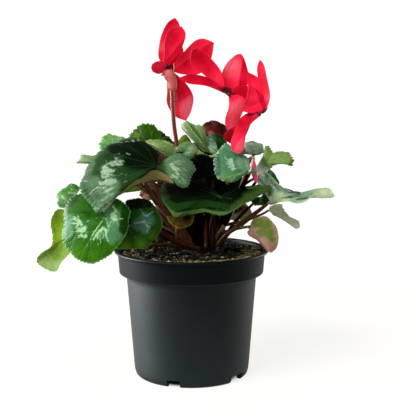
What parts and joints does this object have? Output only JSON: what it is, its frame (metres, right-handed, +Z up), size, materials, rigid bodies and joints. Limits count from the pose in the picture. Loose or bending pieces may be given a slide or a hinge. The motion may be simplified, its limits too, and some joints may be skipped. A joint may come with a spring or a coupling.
{
  "type": "potted cyclamen",
  "caption": "Flowering cyclamen in a tapered black nursery pot: toothed silver-marked heart leaves on arching stalks and red swept-back flowers above them.",
  "frame": {"origin": "middle of the pot's foot, on the surface that the pot stands on", "axes": "+Z up, -Y toward the viewer of the picture, +X to the viewer's right"},
  "size_m": [0.2255, 0.1721, 0.2773],
  "materials": {
    "pot": "moulded black polypropylene, satin",
    "soil": "damp peat with pale granules, matt",
    "stalk": "smooth fleshy reddish-brown stalks and corky tuber",
    "leaf": "waxy green leaf with silver marbling",
    "petal": "soft velvety coral-red petal",
    "flower_stalk": "smooth fleshy red-brown stalk"
  },
  "bodies": {
    "root": {"pot": "pot", "soil": "soil", "crown": "stalk", "leaf_01": "leaf", "leaf_02": "leaf", "leaf_03": "leaf", "leaf_04": "leaf", "leaf_05": "leaf", "leaf_06": "leaf", "leaf_07": "leaf", "leaf_08": "leaf", "leaf_09": "leaf", "leaf_10": "leaf", "leaf_11": "leaf", "leaf_12": "leaf", "leaf_13": "leaf", "leaf_14": "leaf", "leaf_15": "leaf", "leaf_16": "leaf", "leaf_17": "leaf", "leaf_18": "leaf", "leaf_19": "leaf", "leaf_20": "leaf", "leaf_21": "leaf", "leaf_22": "leaf", "leaf_23": "leaf", "leaf_24": "leaf", "leaf_25": "leaf", "leaf_26": "leaf", "leaf_27": "leaf", "leaf_28": "leaf", "leaf_29": "leaf", "leaf_30": "leaf", "leaf_31": "leaf", "leaf_32": "leaf", "leaf_33": "leaf", "leaf_34": "leaf", "leaf_35": "leaf", "leaf_36": "leaf", "leaf_37": "leaf", "bloom_1": "petal", "bloom_2": "petal", "bloom_3": "petal", "bud": "petal", "flower_stalk_1": "flower_stalk", "flower_stalk_2": "flower_stalk", "flower_stalk_3": "flower_stalk", "bud_stalk": "flower_stalk"}
  },
  "joints": []
}
